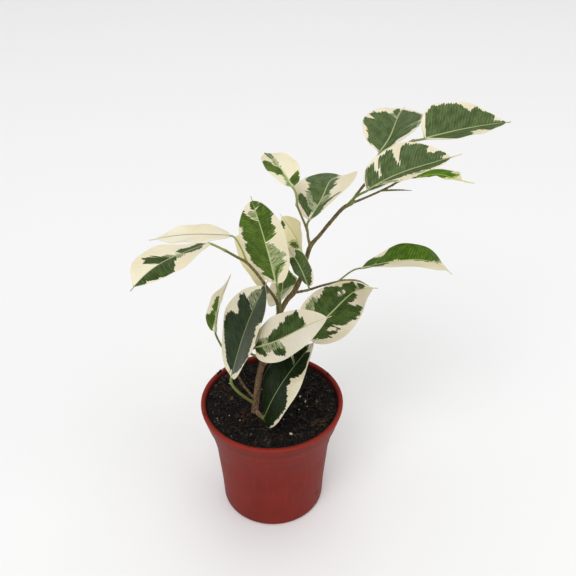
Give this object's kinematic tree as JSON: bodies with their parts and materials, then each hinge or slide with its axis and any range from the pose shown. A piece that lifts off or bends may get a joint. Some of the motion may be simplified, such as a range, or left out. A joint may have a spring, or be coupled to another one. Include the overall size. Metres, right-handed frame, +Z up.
{
  "type": "potted weeping fig",
  "caption": "Young variegated weeping fig in a small round plastic nursery pot, with loose leaves on slim woody stems.",
  "frame": {"origin": "centre of the pot's underside, on the surface that the pot stands on", "axes": "+Z up along the pot's axis, -Y towards the side that the plant shows best, +X to that side's right"},
  "size_m": [0.136, 0.0857, 0.1742],
  "materials": {
    "pot_plastic": "satin",
    "peat_soil": "matte",
    "bark": "matte",
    "variegated_leaf": "satin"
  },
  "bodies": {
    "root": {"pot": "pot_plastic", "soil": "peat_soil", "stem": "bark", "leaf_far_left": "variegated_leaf", "leaf_left_flat": "variegated_leaf", "leaf_left_behind": "variegated_leaf", "leaf_centre_tall": "variegated_leaf", "leaf_low_left_small": "variegated_leaf", "leaf_low_left_dark": "variegated_leaf", "leaf_low_front": "variegated_leaf", "leaf_lowest_front": "variegated_leaf", "leaf_mid_right": "variegated_leaf", "leaf_centre_behind": "variegated_leaf", "leaf_centre_right": "variegated_leaf", "leaf_centre_back": "variegated_leaf", "leaf_top_left": "variegated_leaf", "leaf_top_centre": "variegated_leaf", "leaf_top_back": "variegated_leaf", "leaf_far_right_top": "variegated_leaf", "leaf_right_upper": "variegated_leaf", "leaf_right_young": "variegated_leaf", "leaf_right_arched": "variegated_leaf"}
  },
  "joints": []
}
